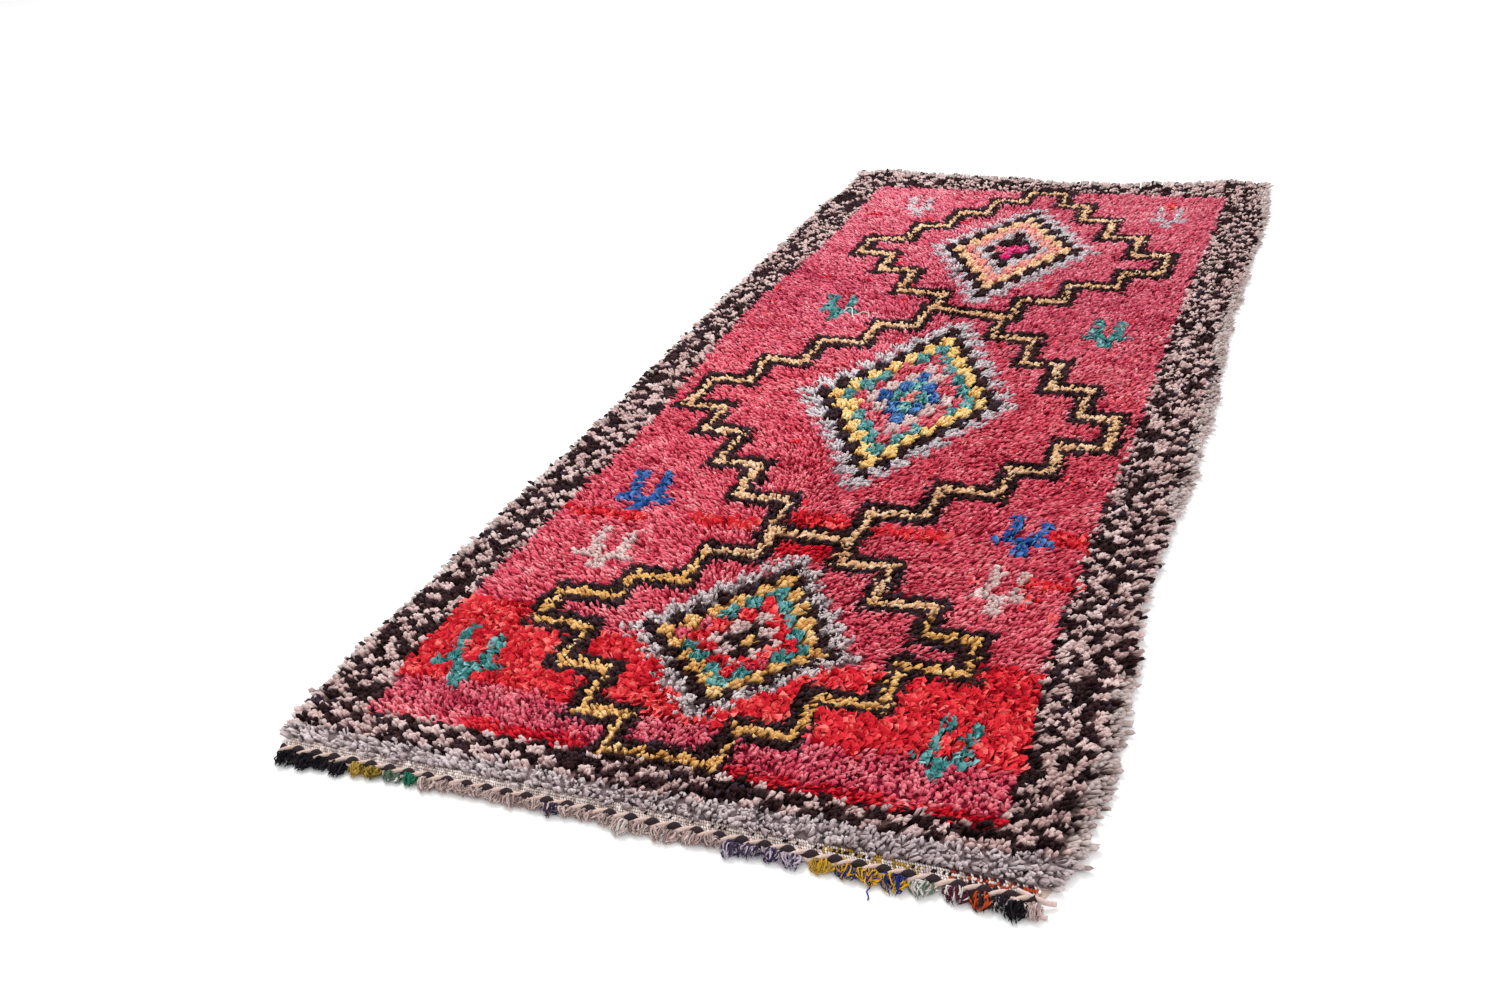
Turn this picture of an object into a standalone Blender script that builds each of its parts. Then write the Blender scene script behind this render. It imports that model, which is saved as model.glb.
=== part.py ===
"""A knotted rag rug lying flat, with a twined cord and a tasselled fringe at one end.

The rug is one lumpy slab: its pile, its ground weave and the narrow flat-woven band at the
fringed end. Locks of pile stand out round the other three sides. A narrow strip with the
fringe's tassels meets the end of the band, and the two strands of the twined cord wind round
each other on top of that strip.

Metres. X runs across the rug, Y from the fringed end to the plain end, Z up. The origin is on
the floor under the middle of the whole rug, fringe included.
"""

import math
import random
from collections import namedtuple

import bmesh
import bpy

# The rug's own sizes. The pile starts at PILE_START and ends at the plain end.
RUG_WIDTH = 1.150
FRINGE_REACH = 0.047
PILE_LENGTH = 2.712
PILE_START = -(PILE_LENGTH - FRINGE_REACH) / 2
PILE_HEIGHT = 0.0175
PILE_EDGE_HEIGHT = 0.0095
EDGE_ROUNDING = 0.045
CELL = 0.037

# Locks of pile that stand out at the rim
LOCK_REACH = 0.015
LOCK_TIP_SHARE = 0.45
LOCK_TIP_TOP = 0.0065
LOCK_TIP_BOTTOM = 0.0015

# Flat-woven band at the fringed end
BAND_WIDTH = 0.013
BAND_HEIGHT = 0.0035
BAND_INSET = 0.022
STEP_RUN = 0.0012

# Gap between pieces that touch
TOUCH = 0.0003

# Fringe: a strip on the floor with locks in pairs, a pair for each tassel
STRIP_DEPTH = 0.0145
STRIP_HEIGHT = 0.003
TASSELS = 42
LOCKS_IN_TASSEL = 2
LOCK_SHARE = 0.74
TASSEL_HEIGHT = 0.0085

# Twined cord: two strands round one line, wider than it is high
TWIST_PITCH = 0.0305
TWIST_STEPS = 6
COILS_RADIUS = 0.00315
STRAND_RADIUS = 0.00245
STRAND_SIDES = 4
FLATTENING = 0.60

# How far the side locks reach from the middle line, by distance from the start of the pile
Side = namedtuple("Side", "along left right")
SIDES = (
    Side(along=0.00, left=0.552, right=0.548),
    Side(along=0.06, left=0.565, right=0.566),
    Side(along=0.25, left=0.574, right=0.573),
    Side(along=0.45, left=0.572, right=0.566),
    Side(along=0.65, left=0.570, right=0.551),
    Side(along=0.85, left=0.564, right=0.558),
    Side(along=1.05, left=0.565, right=0.573),
    Side(along=1.30, left=0.573, right=0.575),
    Side(along=1.50, left=0.575, right=0.568),
    Side(along=1.75, left=0.575, right=0.563),
    Side(along=2.00, left=0.575, right=0.567),
    Side(along=2.25, left=0.573, right=0.574),
    Side(along=2.40, left=0.570, right=0.575),
    Side(along=2.50, left=0.559, right=0.574),
    Side(along=2.66, left=0.555, right=0.562),
    Side(along=2.72, left=0.546, right=0.548),
)

# How far the plain end falls short of the full length, by share of the width from the left
PlainEnd = namedtuple("PlainEnd", "across short")
PLAIN_END = (
    PlainEnd(across=0.00, short=0.022),
    PlainEnd(across=0.07, short=0.000),
    PlainEnd(across=0.20, short=0.017),
    PlainEnd(across=0.38, short=0.037),
    PlainEnd(across=0.55, short=0.060),
    PlainEnd(across=0.66, short=0.066),
    PlainEnd(across=0.80, short=0.044),
    PlainEnd(across=0.92, short=0.014),
    PlainEnd(across=1.00, short=0.030),
)

# Swells of the pile: each is a wave with its length, its direction and its height
Swell = namedtuple("Swell", "length degrees height shift")
SWELLS = (
    Swell(length=0.71, degrees=72, height=0.0012, shift=0.4),
    Swell(length=0.33, degrees=20, height=0.0009, shift=1.9),
    Swell(length=0.21, degrees=118, height=0.0009, shift=3.1),
    Swell(length=0.125, degrees=49, height=0.0008, shift=5.2),
)
LUMP_HEIGHT = 0.0016

# Colour, roughness of each material
Finish = namedtuple("Finish", "colour roughness")
PILE_FINISH = Finish(colour=(0.62, 0.09, 0.13), roughness=0.95)
LIGHT_TWINE_FINISH = Finish(colour=(0.60, 0.47, 0.42), roughness=0.9)
DARK_TWINE_FINISH = Finish(colour=(0.045, 0.035, 0.04), roughness=0.9)
FRINGE_FINISH = Finish(colour=(0.38, 0.30, 0.31), roughness=0.95)


def clear_scene():
    """Removes every object, so that the scene holds the rug alone."""
    for obj in list(bpy.data.objects):
        bpy.data.objects.remove(obj)


def material_of(name, finish):
    """A Principled material with this colour and roughness."""
    material = bpy.data.materials.new(name)
    material.use_nodes = True
    shader = material.node_tree.nodes["Principled BSDF"]
    shader.inputs["Base Color"].default_value = (*finish.colour, 1.0)
    shader.inputs["Roughness"].default_value = finish.roughness
    shader.inputs["Metallic"].default_value = 0.0
    material.diffuse_color = (*finish.colour, 1.0)
    return material


def object_of(name, shape, finish, smooth=True):
    """Turns a bmesh into a named object with its material, and frees the bmesh."""
    mesh = bpy.data.meshes.new(name)
    bmesh.ops.recalc_face_normals(shape, faces=shape.faces[:])
    shape.to_mesh(mesh)
    shape.free()
    if smooth:
        mesh.shade_smooth()
        mesh.set_sharp_from_angle(angle=math.radians(50))
    mesh.materials.append(material_of(name + "_finish", finish))
    obj = bpy.data.objects.new(name, mesh)
    bpy.context.scene.collection.objects.link(obj)
    return obj


def eased(rows, key, column, at):
    """The value of a column at a place between two rows, eased so that the line has no kinks."""
    if at <= getattr(rows[0], key):
        return getattr(rows[0], column)
    for low, high in zip(rows, rows[1:]):
        start, end = getattr(low, key), getattr(high, key)
        if at <= end:
            share = (at - start) / (end - start)
            share = share * share * (3 - 2 * share)
            return getattr(low, column) * (1 - share) + getattr(high, column) * share
    return getattr(rows[-1], column)


def side_x(along, side, inset):
    """X of the left (-1) or right (+1) edge at this distance along, drawn in by inset."""
    column = "left" if side < 0 else "right"
    return side * (eased(SIDES, "along", column, along) - inset)


def plain_end(across, inset):
    """Distance along at which the pile ends, at this share of the width."""
    return PILE_LENGTH - eased(PLAIN_END, "across", "short", across) - inset


def swell_at(x, y):
    """Height of the pile's broad swells: the sum of the waves in SWELLS."""
    total = 0.0
    for swell in SWELLS:
        angle = math.radians(swell.degrees)
        way = x * math.cos(angle) + y * math.sin(angle)
        total += swell.height * math.sin(2 * math.pi * way / swell.length + swell.shift)
    return total


def pile_top(x, y, to_rim, lump):
    """Height of the pile, which rounds off towards its rim."""
    share = min(1.0, max(0.0, to_rim / EDGE_ROUNDING))
    rise = math.sin(share * math.pi / 2)
    full = PILE_HEIGHT + swell_at(x, y) + lump
    return PILE_EDGE_HEIGHT + (full - PILE_EDGE_HEIGHT) * rise


def pile_grid():
    """Rows of points over the top of the slab, from the band's free edge to the plain end."""
    lumps = random.Random(31)
    columns = round((RUG_WIDTH - 2 * LOCK_REACH) / CELL)
    rows = round((PILE_LENGTH - LOCK_REACH) / CELL)
    band_rows = ((-BAND_WIDTH, BAND_HEIGHT), (-STEP_RUN, BAND_HEIGHT))
    grid = []
    for along, height in band_rows:
        left = side_x(0, -1, BAND_INSET)
        right = side_x(0, 1, BAND_INSET)
        grid.append([
            (left + (right - left) * i / columns, PILE_START + along, height)
            for i in range(columns + 1)
        ])
    for j in range(rows + 1):
        line = []
        for i in range(columns + 1):
            across = i / columns
            along = plain_end(across, LOCK_REACH) * j / rows
            left = side_x(along, -1, LOCK_REACH)
            right = side_x(along, 1, LOCK_REACH)
            x = left + (right - left) * across
            y = PILE_START + along
            to_rim = min(i, columns - i, j, rows - j) * CELL
            inside = 0 < i < columns and 0 < j < rows
            lump = lumps.uniform(-LUMP_HEIGHT, LUMP_HEIGHT) if inside else 0.0
            line.append((x, y, pile_top(x, y, to_rim, lump)))
        grid.append(line)
    return grid, len(band_rows)


def round_the_grid(points):
    """The grid's outer points in order: fringed end, right side, plain end, left side."""
    last_row, last_column = len(points) - 1, len(points[0]) - 1
    ring = [points[0][i] for i in range(last_column)]
    ring += [points[j][last_column] for j in range(last_row)]
    ring += [points[last_row][i] for i in range(last_column, 0, -1)]
    ring += [points[j][0] for j in range(last_row, 0, -1)]
    return ring


def pull_lock(shape, wall, outward, chance):
    """Draws one wall face out into a lock that narrows, leans and stays above the floor."""
    drawn = bmesh.ops.extrude_discrete_faces(shape, faces=[wall])["faces"][0]
    middle = drawn.calc_center_median()
    reach = LOCK_REACH * chance.uniform(0.72, 1.0)
    lean = chance.uniform(-0.35, 0.35) * LOCK_REACH
    share = LOCK_TIP_SHARE * chance.uniform(0.75, 1.3)
    for vert in drawn.verts:
        is_top = vert.co.z > middle.z
        vert.co.x = middle.x + (vert.co.x - middle.x) * share + outward[0] * reach - outward[1] * lean
        vert.co.y = middle.y + (vert.co.y - middle.y) * share + outward[1] * reach + outward[0] * lean
        vert.co.z = LOCK_TIP_TOP if is_top else LOCK_TIP_BOTTOM


def make_rug():
    """The slab: a lumpy top, walls down to a flat underside, and a lock on each rim wall."""
    shape = bmesh.new()
    grid, band_rows = pile_grid()
    top = [[shape.verts.new(point) for point in line] for line in grid]
    for low, high in zip(top, top[1:]):
        for i in range(len(low) - 1):
            shape.faces.new((low[i], low[i + 1], high[i + 1], high[i]))
    rim = round_the_grid(top)
    foot = [shape.verts.new((vert.co.x, vert.co.y, 0.0)) for vert in rim]
    columns, rows = len(grid[0]) - 1, len(grid) - 1
    walls = []
    for i in range(len(rim)):
        after = (i + 1) % len(rim)
        walls.append(shape.faces.new((rim[i], foot[i], foot[after], rim[after])))
    shape.faces.new(foot)
    right_side = range(columns + band_rows, columns + rows)
    far_side = range(columns + rows, 2 * columns + rows)
    left_side = range(2 * columns + rows, 2 * columns + 2 * rows - band_rows)
    chance = random.Random(8)
    for side, outward in ((right_side, (1, 0)), (far_side, (0, 1)), (left_side, (-1, 0))):
        for i in side:
            pull_lock(shape, walls[i], outward, chance)
    return object_of("rug", shape, PILE_FINISH)


def fringe_line():
    """X of the fringe's left and right ends."""
    return side_x(0, -1, BAND_INSET - 0.004), side_x(0, 1, BAND_INSET)


def lock_breaks(left, right):
    """Places along the strip where a lock or the space beside it starts, and which are locks."""
    count = TASSELS * LOCKS_IN_TASSEL
    pitch = (right - left) / count
    breaks, is_lock = [left], []
    for i in range(count):
        start = left + i * pitch
        # The two locks of a tassel lie closer to each other than to the next tassel's.
        near_side = i % LOCKS_IN_TASSEL
        before = pitch * (1 - LOCK_SHARE) * (0.25 if near_side else 0.75)
        breaks += [start + before, start + before + pitch * LOCK_SHARE]
        is_lock += [False, True]
    breaks.append(right)
    is_lock.append(False)
    return breaks, is_lock


def make_fringe():
    """A flat strip on the floor whose outer wall carries the locks, each rising then falling."""
    shape = bmesh.new()
    left, right = fringe_line()
    back = PILE_START - BAND_WIDTH - TOUCH
    front = back - STRIP_DEPTH
    breaks, is_lock = lock_breaks(left, right)
    lines = []
    for y, z in ((front, 0), (front, STRIP_HEIGHT), (back, STRIP_HEIGHT), (back, 0)):
        lines.append([shape.verts.new((x, y, z)) for x in breaks])
    front_low, front_high, back_high, back_low = lines
    walls = []
    for i in range(len(breaks) - 1):
        walls.append(shape.faces.new((front_low[i], front_low[i + 1], front_high[i + 1], front_high[i])))
        shape.faces.new((front_high[i], front_high[i + 1], back_high[i + 1], back_high[i]))
        shape.faces.new((back_high[i], back_high[i + 1], back_low[i + 1], back_low[i]))
        shape.faces.new((back_low[i], back_low[i + 1], front_low[i + 1], front_low[i]))
    for end in (0, -1):
        shape.faces.new([line[end] for line in lines])
    chance = random.Random(5)
    tip_reach = FRINGE_REACH - BAND_WIDTH - TOUCH - STRIP_DEPTH
    for wall, wanted in zip(walls, is_lock):
        if wanted:
            pull_tassel_lock(shape, wall, tip_reach * chance.uniform(0.7, 1.0), chance)
    return object_of("fringe", shape, FRINGE_FINISH)


def pull_tassel_lock(shape, wall, reach, chance):
    """Draws a wall face out in two steps: a full belly, then a lower and narrower tip."""
    lean = chance.uniform(-0.0018, 0.0018)
    belly = bmesh.ops.extrude_discrete_faces(shape, faces=[wall])["faces"][0]
    middle = belly.calc_center_median().x
    for vert in belly.verts:
        is_top = vert.co.z > STRIP_HEIGHT / 2
        vert.co.x = middle + (vert.co.x - middle) * (0.8 if is_top else 1.06) + lean / 2
        vert.co.y -= reach * 0.55
        vert.co.z = TASSEL_HEIGHT * chance.uniform(0.8, 1.0) if is_top else 0.0
    tip = bmesh.ops.extrude_discrete_faces(shape, faces=[belly])["faces"][0]
    for vert in tip.verts:
        is_top = vert.co.z > STRIP_HEIGHT / 2
        vert.co.x = middle + (vert.co.x - middle) * 0.6 + lean
        vert.co.y -= reach * 0.45
        vert.co.z = STRIP_HEIGHT if is_top else 0.0


def cord_middle():
    """The cord's line: its left and right ends, its Y and its height."""
    left, right = fringe_line()
    y = PILE_START - BAND_WIDTH - TOUCH - STRIP_DEPTH / 2
    z = STRIP_HEIGHT + TOUCH + (COILS_RADIUS + STRAND_RADIUS) * FLATTENING
    return left + 0.004, right - 0.004, y, z


def make_strand(name, start_turn, finish):
    """One strand of the cord: a flattened helix, swept with a four-sided section."""
    shape = bmesh.new()
    left, right, y, z = cord_middle()
    twists = round((right - left) / TWIST_PITCH)
    stations = twists * TWIST_STEPS
    rings = []
    for i in range(stations + 1):
        turn = 2 * math.pi * (i / TWIST_STEPS + start_turn)
        x = left + (right - left) * i / stations
        ring = []
        for k in range(STRAND_SIDES):
            round_strand = 2 * math.pi * k / STRAND_SIDES
            off_y = COILS_RADIUS * math.cos(turn) + STRAND_RADIUS * math.cos(round_strand)
            off_z = COILS_RADIUS * math.sin(turn) + STRAND_RADIUS * math.sin(round_strand)
            ring.append(shape.verts.new((x, y + off_y, z + off_z * FLATTENING)))
        rings.append(ring)
    for low, high in zip(rings, rings[1:]):
        for k in range(STRAND_SIDES):
            after = (k + 1) % STRAND_SIDES
            shape.faces.new((low[k], low[after], high[after], high[k]))
    shape.faces.new(rings[0])
    shape.faces.new(rings[-1])
    return object_of(name, shape, finish)


def main():
    """Builds the rug, its fringe and the cord's two strands."""
    clear_scene()
    make_rug()
    make_fringe()
    make_strand("light_strand", 0.0, LIGHT_TWINE_FINISH)
    make_strand("dark_strand", 0.5, DARK_TWINE_FINISH)


main()
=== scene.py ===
"""The looks of a long knotted rag rug that lies flat on a pale floor.

The pile is some tens of thousands of locks. Each knot of the rug has its place in a grid of rows,
and a chart made of rules says what it is dyed: stepped lines, stacked lozenges, small forks,
checks round the border, and bands where one batch of yarn gave way to the next. A twined cord
and a row of tassels close the near end.

Metres, in the same frame as the solids. The chart alone is in millimetres, with u across the
rug and v along it, from the near left corner of the pile.
"""

import math
from collections import namedtuple

import bpy
import numpy as np
from mathutils import Matrix, Vector


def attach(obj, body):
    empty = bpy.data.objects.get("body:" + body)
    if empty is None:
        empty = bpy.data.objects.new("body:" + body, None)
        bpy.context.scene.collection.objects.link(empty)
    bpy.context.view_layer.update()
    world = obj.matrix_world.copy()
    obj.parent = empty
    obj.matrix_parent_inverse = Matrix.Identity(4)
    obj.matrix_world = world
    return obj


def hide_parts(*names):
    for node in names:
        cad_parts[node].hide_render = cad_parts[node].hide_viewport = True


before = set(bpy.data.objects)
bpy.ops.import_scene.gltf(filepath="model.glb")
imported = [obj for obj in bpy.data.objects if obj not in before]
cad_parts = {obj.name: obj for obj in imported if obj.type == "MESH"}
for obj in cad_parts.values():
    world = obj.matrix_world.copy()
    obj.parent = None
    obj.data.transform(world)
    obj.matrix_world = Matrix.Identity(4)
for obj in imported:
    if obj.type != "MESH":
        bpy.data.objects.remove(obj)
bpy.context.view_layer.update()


def table(columns, *rows):
    """Rows with named columns. Where a table is read by distance, that is its first column."""
    kind = namedtuple("Row", columns)
    return tuple(kind(*row) for row in rows)


# The rug's sizes, the same as the solids'
PILE_LENGTH = 2.712
PILE_START = -1.3325
CHART_LEFT = -0.543
PILE_HEIGHT = 0.0175
FLOOR_GAP = 0.0004

# Ground weave and flat-woven band
WEAVE_HEIGHT = 0.0030
WEAVE_INSET = 0.012
BAND_WIDTH = 0.013
BAND_INSET = 0.022

# Knots: rows from the near end, columns from the left
ROWS = 299
COLUMNS = 125
ROOT_HEIGHT = 0.0024
ROOT_INSET = 0.013
KNOT = 0.009
# Rows and columns of the border, where knots lean together into checks, and how far they do
SIDE_KNOTS = 9
NEAR_KNOTS = 9
FAR_KNOTS = 17
CHECK_GATHER = 0.26
BLOCK_GATHER = 0.00022
# A knot's colour is seen this far along its lean
SEEN_AT = 0.6

# The bed under the tips: how far it stays inside the pile at the near end, far end and sides
BED_INSET = (0.008, 0.020, 0.015)

# Twined cord: how far beyond the band it lies, a pale strand's swing across and up round its
# middle, and how much the dark strand swells where it shows
CORD_DROP = 0.0073
TWIST_PITCH = 0.0305
CORD_HEIGHT = 0.0070
SWING_ACROSS = 0.0060
SWING_UP = 0.0034
EYE_HEIGHT = 0.0056
EYE_SWELL = 0.0042

SIDES = table(
    "along left right",
    (0.00, 0.552, 0.548),
    (0.06, 0.565, 0.566),
    (0.25, 0.574, 0.573),
    (0.45, 0.572, 0.566),
    (0.65, 0.570, 0.551),
    (0.85, 0.564, 0.558),
    (1.05, 0.565, 0.573),
    (1.30, 0.573, 0.575),
    (1.50, 0.575, 0.568),
    (1.75, 0.575, 0.563),
    (2.00, 0.575, 0.567),
    (2.25, 0.573, 0.574),
    (2.40, 0.570, 0.575),
    (2.50, 0.559, 0.574),
    (2.66, 0.555, 0.562),
    (2.72, 0.546, 0.548),
)

PLAIN_END = table(
    "across short",
    (0.00, 0.022),
    (0.07, 0.000),
    (0.20, 0.017),
    (0.38, 0.037),
    (0.55, 0.060),
    (0.66, 0.066),
    (0.80, 0.044),
    (0.92, 0.014),
    (1.00, 0.030),
)

SWELLS = table(
    "length degrees height shift",
    (0.71, 72, 0.0012, 0.4),
    (0.33, 20, 0.0009, 1.9),
    (0.21, 118, 0.0009, 3.1),
    (0.125, 49, 0.0008, 5.2),
)

# How far the pile leans across the rug, in millimetres at the tip, by distance along. It lies
# to the left on the left side and to the right on the right side, and turns between.
NAP = table(
    "along left right",
    (0.0, -8, 13),
    (0.35, -11, 16),
    (0.6, -11, 16),
    (1.25, -12, 15),
    (1.9, -12, 13),
    (2.7, -10, 13),
)
NAP_TURNS = (0.33, 0.52)

# Each yarn or rag: the record's slot, how its locks are cut, and its shades from dark to light
Dye = namedtuple("Dye", "slot cut roughness shades")


def dye_of(slot, cut, roughness, *shades):
    """A dye from its shades, each a place from 0 to 1 and a screen colour from 0 to 255."""
    return Dye(slot, cut, roughness, table("at red green blue", *shades))


DYES = {
    "rose": dye_of(
        "pile", "ends", 0.9,
        (0.0, 128, 14, 38), (0.26, 190, 44, 68), (0.5, 222, 84, 105), (0.75, 238, 122, 136),
        (1.0, 246, 172, 176),
    ),
    "pink": dye_of(
        "pile", "ends", 0.9,
        (0.0, 128, 20, 47), (0.26, 188, 53, 81), (0.5, 219, 94, 119), (0.75, 236, 132, 150),
        (1.0, 244, 180, 187),
    ),
    "mauve": dye_of(
        "pile", "curl", 0.9,
        (0.0, 120, 14, 42), (0.3, 182, 42, 70), (0.6, 216, 82, 106), (1.0, 238, 150, 158),
    ),
    "crimson": dye_of(
        "pile", "ends", 0.85,
        (0.0, 120, 0, 18), (0.5, 210, 8, 40), (1.0, 236, 66, 76),
    ),
    "red": dye_of(
        "red_rag", "petal", 0.75,
        (0.0, 122, 0, 12), (0.35, 186, 8, 32), (0.7, 218, 42, 54), (1.0, 238, 118, 112),
    ),
    "coral": dye_of(
        "pile", "tuft", 0.85,
        (0.0, 176, 56, 64), (0.5, 230, 130, 124), (1.0, 242, 190, 178),
    ),
    "magenta": dye_of(
        "pile", "tuft", 0.85,
        (0.0, 140, 0, 60), (0.6, 220, 16, 106), (1.0, 226, 134, 180),
    ),
    "black": dye_of(
        "dark_yarn", "tuft", 0.8,
        (0.0, 14, 0, 0), (0.5, 36, 13, 15), (0.8, 62, 36, 38), (1.0, 54, 46, 66),
    ),
    "cream": dye_of(
        "pale_yarn", "tuft", 0.92,
        (0.0, 110, 78, 77), (0.3, 178, 145, 142), (0.6, 212, 182, 178), (1.0, 232, 208, 205),
    ),
    "grey": dye_of(
        "pale_yarn", "curl", 0.92,
        (0.0, 132, 114, 117), (0.3, 178, 161, 163), (0.65, 206, 191, 192), (1.0, 226, 214, 214),
    ),
    "pearl": dye_of(
        "pale_yarn", "ends", 0.92,
        (0.0, 132, 112, 119), (0.3, 190, 176, 182), (0.65, 216, 205, 209), (1.0, 234, 226, 227),
    ),
    "ash": dye_of(
        "pale_yarn", "tuft", 0.92,
        (0.0, 110, 90, 87), (0.3, 168, 149, 145), (0.65, 200, 183, 179), (1.0, 220, 206, 202),
    ),
    "gold": dye_of(
        "gold_yarn", "tuft", 0.9,
        (0.0, 128, 76, 34), (0.3, 196, 138, 72), (0.65, 230, 178, 106), (1.0, 246, 212, 156),
    ),
    "tan": dye_of(
        "gold_yarn", "tuft", 0.9,
        (0.0, 142, 90, 58), (0.3, 208, 156, 112), (0.65, 236, 192, 148), (1.0, 248, 220, 188),
    ),
    "yellow": dye_of(
        "gold_yarn", "tuft", 0.9,
        (0.0, 160, 102, 46), (0.3, 228, 172, 92), (0.65, 246, 204, 126), (1.0, 252, 230, 174),
    ),
    "teal": dye_of(
        "teal_rag", "flap", 0.8,
        (0.0, 10, 60, 64), (0.45, 52, 120, 120), (0.8, 102, 162, 162), (1.0, 150, 192, 194),
    ),
    "blue": dye_of(
        "teal_rag", "flap", 0.8,
        (0.0, 12, 34, 92), (0.5, 34, 82, 150), (1.0, 96, 140, 192),
    ),
}
NAMES = tuple(DYES)

# Stepped lines: where each upright stands and how far along it runs, on the left and the right
STEP = "left left_end right right_end"
STAIRS = table(
    "left_start right_start steps",
    (94, 94, table(
        STEP,
        (458, 166, 617, 178),
        (385, 258, 696, 275),
        (303, 355, 790, 375),
        (216, 441, 880, 456),
        (308, 512, 798, 528),
        (395, 610, 701, 622),
        (480, 691, 612, 691),
    )),
    (691, 691, table(
        STEP,
        (469, 794, 614, 790),
        (371, 905, 706, 892),
        (290, 1027, 807, 990),
        (212, 1125, 871, 1095),
        (133, 1253, 952, 1213),
        (212, 1362, 881, 1328),
        (290, 1480, 804, 1436),
        (384, 1588, 726, 1561),
        (466, 1700, 635, 1670),
    )),
    (1700, 1670, table(
        STEP,
        (475, 1790, 651, 1771),
        (371, 1914, 742, 1878),
        (286, 2025, 839, 1970),
        (200, 2126, 924, 2087),
        (293, 2236, 843, 2204),
        (367, 2347, 761, 2324),
        (439, 2451, 680, 2438),
        (511, 2533, 608, 2533),
    )),
)
# Half the width of the gold and of its black edges on an upright. A bar is broader: its own
# distances count for only this share.
GOLD_LINE = 5.7
GOLD_SHARE = 0.64
BLACK_LINE = 21.5
BLACK_SHARE = 0.78
# The near gold turns to tan here, and from here on the lozenges' blocks are paler
GOLD_END = 700
PALE_BLOCKS = 900

# Lozenges: rings of blocks round a middle block. A block's width and length differ by side.
LOZENGES = table(
    "u v to_left to_right to_near to_far rings",
    (556, 375, 26.3, 21.5, 25.5, 34.0,
     ("gold", "black", "cream", "red", "teal", "gold", "black", "grey")),
    (557, 1237, 25.6, 22.8, 44.3, 46.4,
     ("coral", "teal", "blue", "cream", "rose", "teal", "yellow", "black", "pearl")),
    (556, 2095, 24.3, 25.5, 47.4, 41.8,
     ("magenta", "black", "black", "pearl", "coral", "tan", "black", "pearl")),
)

# Single blocks of a lozenge that are dyed otherwise: which lozenge, and steps right and away
TOUCHES = table(
    "lozenge right away dye",
    (2, 1, 0, "magenta"),
    (2, 0, -1, "magenta"),
    (2, -1, 0, "mauve"),
    (0, -3, 1, "mauve"),
    (0, -4, 0, "mauve"),
    (0, 2, -2, "mauve"),
    (1, -2, 3, "rose"),
    (1, 3, -2, "rose"),
    (1, -1, -2, "rose"),
    (1, 2, 1, "rose"),
    (1, -4, -1, "yellow"),
)

# Small forks: middle and foot of each, its width and length, and how far its top leans sideways
FORKS = table(
    "u v width length lean dye",
    (168, 166, 112, 142, -26, "teal"),
    (226, 510, 104, 134, -6, "cream"),
    (207, 694, 100, 154, -22, "blue"),
    (266, 1598, 92, 142, -20, "teal"),
    (250, 2312, 84, 160, -26, "pearl"),
    (904, 143, 90, 136, 8, "teal"),
    (880, 532, 88, 140, 2, "cream"),
    (884, 700, 96, 130, 4, "blue"),
    (868, 1540, 88, 148, -6, "teal"),
    (886, 2290, 84, 162, -2, "pearl"),
)
# A fork's own parts, as shares of its width and its length
FORK_BARS = table(
    "left right near far",
    (-0.14, 0.14, 0.00, 0.32),
    (-0.50, 0.52, 0.28, 0.40),
    (-0.34, -0.14, 0.38, 0.98),
    (0.16, 0.36, 0.38, 0.96),
)

# Streaks and patches where another batch of yarn shows
STREAKS = table(
    "left right near far dye",
    (240, 446, 76, 105, "crimson"),
    (634, 1005, 76, 99, "crimson"),
    (40, 1040, 105, 176, "mauve"),
    (40, 215, 176, 384, "red"),
    (215, 800, 176, 350, "red"),
    (800, 1040, 188, 396, "red"),
    (100, 245, 672, 698, "red"),
    (325, 442, 688, 714, "red"),
    (495, 592, 716, 756, "red"),
    (640, 762, 716, 738, "red"),
    (905, 982, 746, 780, "red"),
    (905, 982, 618, 642, "red"),
    (905, 942, 564, 592, "red"),
    (496, 600, 612, 672, "crimson"),
    (148, 186, 1846, 1866, "crimson"),
    (302, 320, 1952, 1976, "crimson"),
    (292, 318, 2280, 2302, "crimson"),
    (384, 406, 2276, 2298, "crimson"),
    (870, 896, 2240, 2262, "crimson"),
    (872, 898, 2440, 2470, "red"),
    (140, 156, 2300, 2312, "red"),
)

# The field's yarn turns from rose to a paler pink between these distances along
ALL_ROSE, ALL_PINK = 1250, 1750
# A field knot is a red fleck where its draw from 0 to 1 is above this, up to this distance
FLECK = 0.996
FLECKS_END = 1900
# How light or dark the field's yarn is, by distance along
FIELD_TONES = table(
    "v tone",
    (140, 0.03),
    (380, 0.00),
    (560, 0.02),
    (760, 0.00),
    (930, -0.02),
    (1180, 0.00),
    (1420, 0.03),
    (1600, -0.02),
    (1830, -0.06),
    (2050, -0.01),
    (2280, 0.05),
    (2560, 0.10),
)

# The border's inner edge, by distance along
INNER = table(
    "v left right",
    (90, 88, 1004),
    (250, 73, 1002),
    (420, 75, 986),
    (700, 84, 982),
    (900, 90, 984),
    (1120, 88, 992),
    (1400, 70, 992),
    (1700, 66, 992),
    (1950, 84, 994),
    (2300, 94, 1002),
    (2600, 96, 1006),
)
# The grey outer rim on the right: how many knots wide it is, by distance along
RIM = table(
    "v wide",
    (0, 3.4),
    (380, 3.2),
    (450, 1.2),
    (860, 1.0),
    (930, 3.2),
    (1330, 3.4),
    (1450, 2.0),
    (1550, 3.2),
    (1800, 3.0),
    (1950, 2.0),
    (2300, 1.6),
    (2500, 3.0),
    (2700, 3.4),
)
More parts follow.
